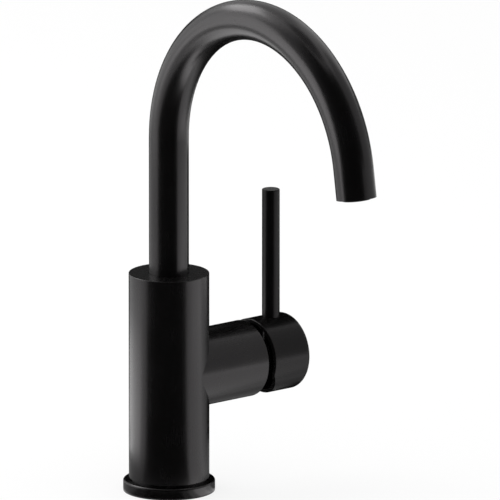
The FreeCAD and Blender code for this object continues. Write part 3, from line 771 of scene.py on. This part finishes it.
def makeWhite(name, kind, axisPlace):
    white = whites[kind]
    paint, tree, surface = startMaterial(name)
    place = objectPlace(tree)
    grain = useEffect(tree, "surfaceGrain", place,
                      Grain_Size=white["grainSize"], Cloud_Size=whites["cloudSize"])
    marks = useEffect(tree, "turnedMarks", axisPlace(tree), Pitch=white["pitch"])
    rub = useEffect(tree, "edgeRub", place, Width=whites["rubWidth"], Patch_Size=whites["rubPatch"])
    stain = mathNode(tree, "MULTIPLY", grain["Cloud"], whites["stainShare"])
    colour = mixColours(tree, stain, white["clean"], white["stained"])
    colour = mixColours(tree, rub["Mask"], colour, white["edge"])
    rough = spread(tree, grain["Cloud"], 0.0, 1.0, white["roughLow"], white["roughHigh"])
    coverSurface(tree, surface, colour, rough, [
        (marks["Height"], white["markDepth"]),
        (grain["Height"], white["grainDepth"]),
    ])
    return paint


finishes = {
    "satinBlackBody": makeSatinBlack("satinBlackBody", alongColumn, 0.62),
    "satinBlackFlange": makeSatinBlack("satinBlackFlange", objectPlace, 0.62),
    "satinBlackSpout": makeSatinBlack("satinBlackSpout", alongArch, 0.62),
    "satinBlackCap": makeSatinBlack("satinBlackCap", alongBranch, 0.34),
    "satinBlackRod": makeSatinBlack("satinBlackRod", objectPlace, 0.22),
    "mouldedBlack": makeMouldedBlack(),
    "uprightBrass": makeTurnedMetal("uprightBrass", "brass", objectPlace),
    "valveBrass": makeTurnedMetal("valveBrass", "brass", alongBranch),
    "uprightSteel": makeTurnedMetal("uprightSteel", "steel", objectPlace),
    "valveSteel": makeTurnedMetal("valveSteel", "steel", alongBranch),
    "blackRubber": makeBlackRubber(),
    "uprightAcetal": makeWhite("uprightAcetal", "acetal", objectPlace),
    "valveAcetal": makeWhite("valveAcetal", "acetal", alongBranch),
    "lappedAlumina": makeWhite("lappedAlumina", "alumina", alongBranch),
}

nodeFinishes = {
    "faucet_body": "satinBlackBody",
    "base_flange": "satinBlackFlange",
    "spout_tube": "satinBlackSpout",
    "handle_cap": "satinBlackCap",
    "lever_rod": "satinBlackRod",
    "bonnet_dome": "mouldedBlack",
    "screw_cover_plug": "mouldedBlack",
    "aerator_housing": "mouldedBlack",
    "aerator_screen": "mouldedBlack",
    "mounting_shank": "uprightBrass",
    "mounting_nut": "uprightBrass",
    "spout_hub": "uprightBrass",
    "outlet_bushing": "uprightBrass",
    "cartridge_nut": "valveBrass",
    "steel_washer": "uprightSteel",
    "spout_lock_screw": "uprightSteel",
    "handle_set_screw": "uprightSteel",
    "pivot_pin": "valveSteel",
    "lever_stem": "valveSteel",
    "base_gasket": "blackRubber",
    "rubber_washer": "blackRubber",
    "spout_seals": "blackRubber",
    "port_seals": "blackRubber",
    "aerator_washer": "blackRubber",
    "thrust_washer": "uprightAcetal",
    "spout_bushing": "uprightAcetal",
    "spout_glide_ring": "uprightAcetal",
    "cartridge_housing": "valveAcetal",
    "cartridge_base": "valveAcetal",
    "lever_carrier": "valveAcetal",
    "disc_coupler": "valveAcetal",
    "hot_limit_ring": "valveAcetal",
    "fixed_disc": "lappedAlumina",
    "moving_disc": "lappedAlumina",
}


def dressNodes():
    for name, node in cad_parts.items():
        for slot in node.material_slots:
            slot.material = finishes[nodeFinishes[name]]


dressNodes()
print("nodes dressed:", len(nodeFinishes))


# Piece helpers

turnSteps = 96                         # facets round a turned piece
weldGap = 0.002 * mm


def mergeAndTurnOut():
    bpy.ops.mesh.select_all(action="SELECT")
    bpy.ops.mesh.remove_doubles(threshold=weldGap)
    bpy.ops.mesh.normals_make_consistent(inside=False)


def turnedPiece(name, points):
    # the outline closes on itself and is spun about the column's axis
    piece = profileObject(name, points + points[:1])
    spinProfile(piece, turnSteps, 2 * math.pi)
    bpy.ops.object.mode_set(mode="EDIT")
    mergeAndTurnOut()
    bpy.ops.object.mode_set(mode="OBJECT")
    return piece


def applyModifier(piece, kind, **settings):
    bpy.context.view_layer.objects.active = piece
    modifier = piece.modifiers.new(kind.lower(), kind)
    for name, value in settings.items():
        setattr(modifier, name, value)
    bpy.ops.object.modifier_apply(modifier=modifier.name)


def keepWhatBothHold(piece, blank):
    applyModifier(piece, "BOOLEAN", operation="INTERSECT", solver="EXACT", object=blank)
    bpy.data.objects.remove(blank)


def finishPiece(piece, node, smoothAngle):
    deselectAll()
    piece.select_set(True)
    bpy.context.view_layer.objects.active = piece
    bpy.ops.object.transform_apply(location=True, rotation=True, scale=True)
    bpy.ops.object.shade_smooth_by_angle(angle=math.radians(smoothAngle))
    piece.data.materials.clear()
    piece.data.materials.append(finishes[nodeFinishes[node]])
    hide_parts(node)
    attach(piece, "body")


# Threaded shank under the deck

shank = {
    "pitch": 2.3 * mm,
    "threadDepth": 1.2 * mm,
    "crestWidth": 0.5 * mm,
    "rootWidth": 0.6 * mm,
    "crestRound": 0.12 * mm,
    "bore": 14.0 * mm,                 # radius
    "endChamfer": 1.2 * mm,
    "overrun": 0.2 * mm,               # of the thread past each end, before the ends are cut
    "blankSpare": 1.0 * mm,            # by which the blank stands outside the crests
    "spareTurns": 2,                   # below, and as many above
    "steps": 72,
    "smoothAngle": 30,
}


def makeThreadedShank():
    low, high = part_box("mounting_shank")
    crest = high[0]
    root = crest - shank["threadDepth"]
    pitch = shank["pitch"]
    flank = (pitch - shank["crestWidth"] - shank["rootWidth"]) / 2
    soft = shank["crestRound"]
    start = low[2] - shank["spareTurns"] * pitch - shank["rootWidth"] / 2
    crestStart = start + shank["rootWidth"] + flank
    crestEnd = crestStart + shank["crestWidth"]
    outline = [
        (root, start),
        (root, start + shank["rootWidth"]),
        (crest - soft * 2, crestStart - soft),
        (crest, crestStart + soft),
        (crest, crestEnd - soft),
        (crest - soft * 2, crestEnd + soft),
        (root, start + pitch),
    ]
    piece = profileObject("threadedShank", outline)
    turns = math.ceil((high[2] - low[2]) / pitch) + 2 * shank["spareTurns"]
    applyModifier(
        piece, "SCREW", angle=2 * math.pi, screw_offset=pitch, iterations=turns,
        steps=shank["steps"], render_steps=shank["steps"],
        use_merge_vertices=True, merge_threshold=weldGap,
    )
    bpy.ops.object.mode_set(mode="EDIT")
    for height, side in ((low[2] - shank["overrun"], -1), (high[2] + shank["overrun"], 1)):
        bpy.ops.mesh.select_all(action="SELECT")
        bpy.ops.mesh.bisect(
            plane_co=(0, 0, height), plane_no=(0, 0, side), use_fill=True, clear_outer=True,
        )
    mergeAndTurnOut()
    bpy.ops.object.mode_set(mode="OBJECT")
    bore = shank["bore"]
    chamfer = shank["endChamfer"]
    spare = shank["blankSpare"]
    blank = turnedPiece("shankBlank", [
        (bore, low[2] + chamfer / 2),
        (bore + chamfer / 2, low[2]),
        (crest - chamfer, low[2]),
        (crest + spare, low[2] + chamfer + spare),
        (crest + spare, high[2] - chamfer - spare),
        (crest - chamfer, high[2]),
        (bore + chamfer / 2, high[2]),
        (bore, high[2] - chamfer / 2),
    ])
    keepWhatBothHold(piece, blank)
    finishPiece(piece, "mounting_shank", shank["smoothAngle"])


# Nut and washers that clamp the deck

clampNut = {
    "sides": 6,
    "turn": 30,                        # degrees, as the solid's corners lie
    "faceRadius": 20.4 * mm,           # where the turned chamfer starts
    "cornerChamfer": 3.0 * mm,         # how far it reaches down at the corners
    "boreChamfer": 0.9 * mm,
    "cornerSpare": 1.0 * mm,           # by which the blank stands outside the corners
    "faceSpare": 0.5 * mm,             # and the faces
    "edgeRound": 0.25 * mm,
    "roundSegments": 2,
    "sharpAngle": 25,
    "smoothAngle": 40,
}


def makeClampNut():
    low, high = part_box("mounting_nut")
    shankLow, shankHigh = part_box("mounting_shank")
    corner = high[0]
    deselectAll()
    bpy.ops.mesh.primitive_cylinder_add(
        vertices=clampNut["sides"], radius=corner, depth=high[2] - low[2],
        location=(0, 0, (low[2] + high[2]) / 2), rotation=(0, 0, math.radians(clampNut["turn"])),
    )
    piece = bpy.context.object
    piece.name = "clampNut"
    bpy.ops.object.transform_apply(location=True, rotation=True, scale=True)
    bore = shankHigh[0]
    chamfer = clampNut["boreChamfer"]
    face = clampNut["faceRadius"]
    spare = clampNut["faceSpare"]
    beyond = corner + clampNut["cornerSpare"]
    slope = clampNut["cornerChamfer"] / (corner - face)
    drop = (beyond - face) * slope
    blank = turnedPiece("nutBlank", [
        (bore, low[2] + chamfer),
        (bore + chamfer + spare, low[2] - spare),
        (face - spare / slope, low[2] - spare),
        (beyond, low[2] + drop),
        (beyond, high[2] - drop),
        (face - spare / slope, high[2] + spare),
        (bore + chamfer + spare, high[2] + spare),
        (bore, high[2] - chamfer),
    ])
    keepWhatBothHold(piece, blank)
    applyModifier(
        piece, "BEVEL", width=clampNut["edgeRound"], segments=clampNut["roundSegments"],
        limit_method="ANGLE", angle_limit=math.radians(clampNut["sharpAngle"]),
    )
    finishPiece(piece, "mounting_nut", clampNut["smoothAngle"])


washers = {
    "steelWasher": {
        "node": "steel_washer", "slot": "steel", "bore": 16.9 * mm, "edge": 0.35 * mm,
        "grooves": 0, "grooveDepth": 0.0, "smoothAngle": 35,
    },
    "rubberWasher": {
        "node": "rubber_washer", "slot": "rubber", "bore": 16.9 * mm, "edge": 0.8 * mm,
        "grooves": 3, "grooveDepth": 0.45 * mm, "smoothAngle": 35,
    },
}
cornerSteps = 3


def roundedCorner(radius, height, edge, fromAngle):
    # a quarter circle about the corner's centre
    corners = []
    for step in range(cornerSteps + 1):
        turn = math.radians(fromAngle + 90 * step / cornerSteps)
        corners.append((radius + edge * math.cos(turn), height + edge * math.sin(turn)))
    return corners


def makeWasher(name, washer):
    low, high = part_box(washer["node"])
    edge = washer["edge"]
    inside = washer["bore"] + edge
    outside = high[0] - edge
    bottom = low[2] + edge
    top = high[2] - edge
    outline = roundedCorner(inside, bottom, edge, 180)
    pitch = (outside - inside) / (2 * washer["grooves"] + 1)
    grooveTop = low[2] + washer["grooveDepth"]
    for groove in range(washer["grooves"]):
        start = inside + pitch * (2 * groove + 1)
        outline += [
            (start, low[2]), (start + pitch / 4, grooveTop),
            (start + pitch * 3 / 4, grooveTop), (start + pitch, low[2]),
        ]
    outline += roundedCorner(outside, bottom, edge, 270)
    outline += roundedCorner(outside, top, edge, 0)
    outline += roundedCorner(inside, top, edge, 90)
    piece = turnedPiece(name, outline)
    finishPiece(piece, washer["node"], washer["smoothAngle"])


makeThreadedShank()
makeClampNut()
for name, washer in washers.items():
    makeWasher(name, washer)
print("deck clamp dressed")
